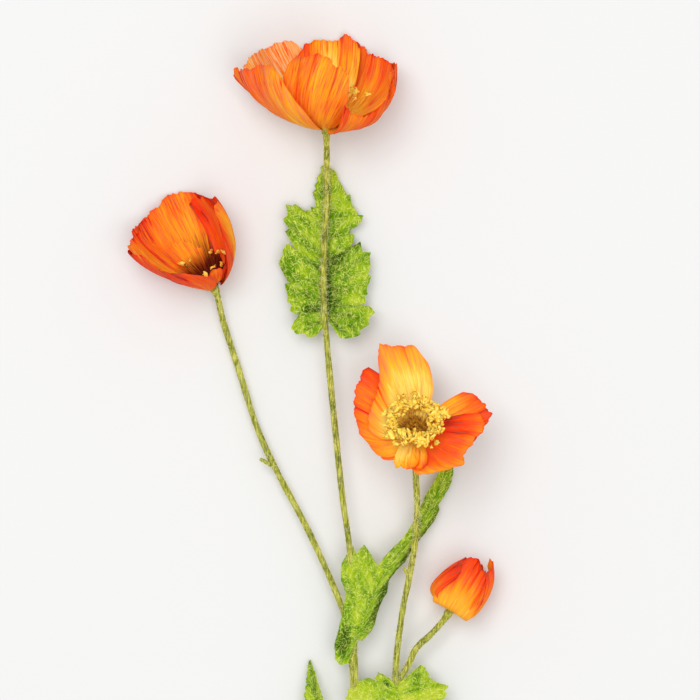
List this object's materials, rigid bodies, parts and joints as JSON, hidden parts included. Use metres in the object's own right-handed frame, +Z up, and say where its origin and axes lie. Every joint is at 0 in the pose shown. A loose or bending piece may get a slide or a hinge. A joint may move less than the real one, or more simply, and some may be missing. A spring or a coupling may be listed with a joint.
{
  "type": "poppy flower spray",
  "caption": "Branched spray of Iceland poppy lying flat: open orange flowers, a closing bud, thin hairy stems and lobed, toothed leaves.",
  "frame": {"origin": "on the surface the spray lies on, under the middle of its bounding box", "axes": "+Z up from the surface, +Y from the cut end of the stem towards the top flower, +X to the right seen from above"},
  "size_m": [0.1829, 0.4389, 0.0599],
  "materials": {
    "stem": "matt, hairy",
    "leaf": "matt, hairy",
    "petal": "satin, creased",
    "stamen": "powdery",
    "centre": "matt"
  },
  "bodies": {
    "root": {"stem": "stem", "top_flower_petal_front": "petal", "top_flower_petal_left": "petal", "top_flower_petal_right": "petal", "top_flower_petal_back": "petal", "top_flower_petal_back_left": "petal", "top_flower_petal_back_right": "petal", "left_flower_petal_left": "petal", "left_flower_petal_right": "petal", "left_flower_petal_back": "petal", "left_flower_petal_back_left": "petal", "left_flower_petal_front": "petal", "right_flower_petal_top": "petal", "right_flower_petal_left": "petal", "right_flower_petal_right": "petal", "right_flower_petal_front_right": "petal", "right_flower_petal_front": "petal", "bud_petal_front": "petal", "bud_petal_left": "petal", "bud_petal_right": "petal", "bud_petal_back": "petal", "top_flower_centre": "centre", "top_flower_stamens": "stamen", "left_flower_centre": "centre", "left_flower_stamens": "stamen", "right_flower_centre": "centre", "right_flower_stamens": "stamen", "upper_leaf": "leaf", "middle_leaf": "leaf", "lower_leaf": "leaf", "side_leaf": "leaf"}
  },
  "joints": []
}
